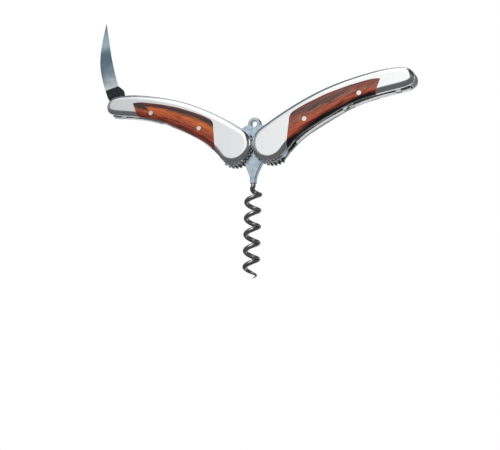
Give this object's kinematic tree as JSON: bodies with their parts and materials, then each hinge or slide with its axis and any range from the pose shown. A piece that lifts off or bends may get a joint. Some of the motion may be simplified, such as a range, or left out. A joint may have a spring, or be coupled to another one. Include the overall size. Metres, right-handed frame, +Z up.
{
  "type": "wing corkscrew",
  "caption": "Folding corkscrew with two geared wings, wood inlays, hinged bottle feet, a foil blade in one tip and a wire worm.",
  "frame": {"origin": "on the worm's axis where the worm leaves the centre plate", "axes": "+Z up along the worm's axis towards the hanging hole, -Y to the front face of the wings, +X towards the wing without the blade"},
  "size_m": [0.1697, 0.0114, 0.1397],
  "materials": {
    "wing_shell": "satin",
    "inlay_wood": "satin",
    "liner_steel": "satin",
    "rivet_steel": "polished",
    "pin_steel": "polished",
    "foot_steel": "satin",
    "plate_steel": "polished",
    "worm_steel": "polished",
    "blade_steel": "satin"
  },
  "bodies": {
    "frame": {"centre_plate": "plate_steel", "worm": "worm_steel"},
    "right_wing": {"right_front_shell": "wing_shell", "right_back_shell": "wing_shell", "right_front_scale": "inlay_wood", "right_back_scale": "inlay_wood", "right_front_liner": "liner_steel", "right_back_liner": "liner_steel", "right_spacer": "liner_steel", "right_rivets": "rivet_steel", "right_pivot_pin": "pin_steel", "right_foot_pin": "pin_steel", "right_tip_pin": "pin_steel"},
    "left_wing": {"left_front_shell": "wing_shell", "left_back_shell": "wing_shell", "left_front_scale": "inlay_wood", "left_back_scale": "inlay_wood", "left_front_liner": "liner_steel", "left_back_liner": "liner_steel", "left_spacer": "liner_steel", "left_rivets": "rivet_steel", "left_pivot_pin": "pin_steel", "left_foot_pin": "pin_steel", "left_tip_pin": "pin_steel"},
    "foil_blade": {"foil_blade": "blade_steel"},
    "right_foot": {"right_foot_link": "foot_steel", "right_foot_end_pin": "pin_steel"},
    "left_foot": {"left_foot_link": "foot_steel", "left_foot_end_pin": "pin_steel"},
    "right_foot_end": {"right_foot_end": "foot_steel"},
    "left_foot_end": {"left_foot_end": "foot_steel"}
  },
  "joints": [
    {"name": "right_wing_hinge", "type": "hinge", "parent": "frame", "child": "right_wing", "pos_m": [0.00978, 0, 0.0192], "axis": [0, -1, 0], "range_deg": [-113.5, 21]},
    {"name": "left_wing_hinge", "type": "hinge", "parent": "frame", "child": "left_wing", "pos_m": [-0.00978, 0, 0.0192], "axis": [0, -1, 0], "range_deg": [-21, 113.5]},
    {"name": "blade_hinge", "type": "hinge", "parent": "left_wing", "child": "foil_blade", "pos_m": [-0.07531, 0, 0.04706], "axis": [0, -1, 0], "range_deg": [-119.76, 60.24]},
    {"name": "right_foot_hinge", "type": "hinge", "parent": "right_wing", "child": "right_foot", "pos_m": [0.02424, 0, 0.02482], "axis": [0, 1, 0], "range_deg": [0, 115]},
    {"name": "left_foot_hinge", "type": "hinge", "parent": "left_wing", "child": "left_foot", "pos_m": [-0.02424, 0, 0.02482], "axis": [0, -1, 0], "range_deg": [0, 115]},
    {"name": "right_foot_end_hinge", "type": "hinge", "parent": "right_foot", "child": "right_foot_end", "pos_m": [0.04882, 0, 0.03625], "axis": [0, 1, 0], "range_deg": [0, 40]},
    {"name": "left_foot_end_hinge", "type": "hinge", "parent": "left_foot", "child": "left_foot_end", "pos_m": [-0.04882, 0, 0.03625], "axis": [0, -1, 0], "range_deg": [0, 40]}
  ],
  "couplings": [
    {"joint": "left_wing_hinge", "follows": "right_wing_hinge", "ratio": -1}
  ]
}
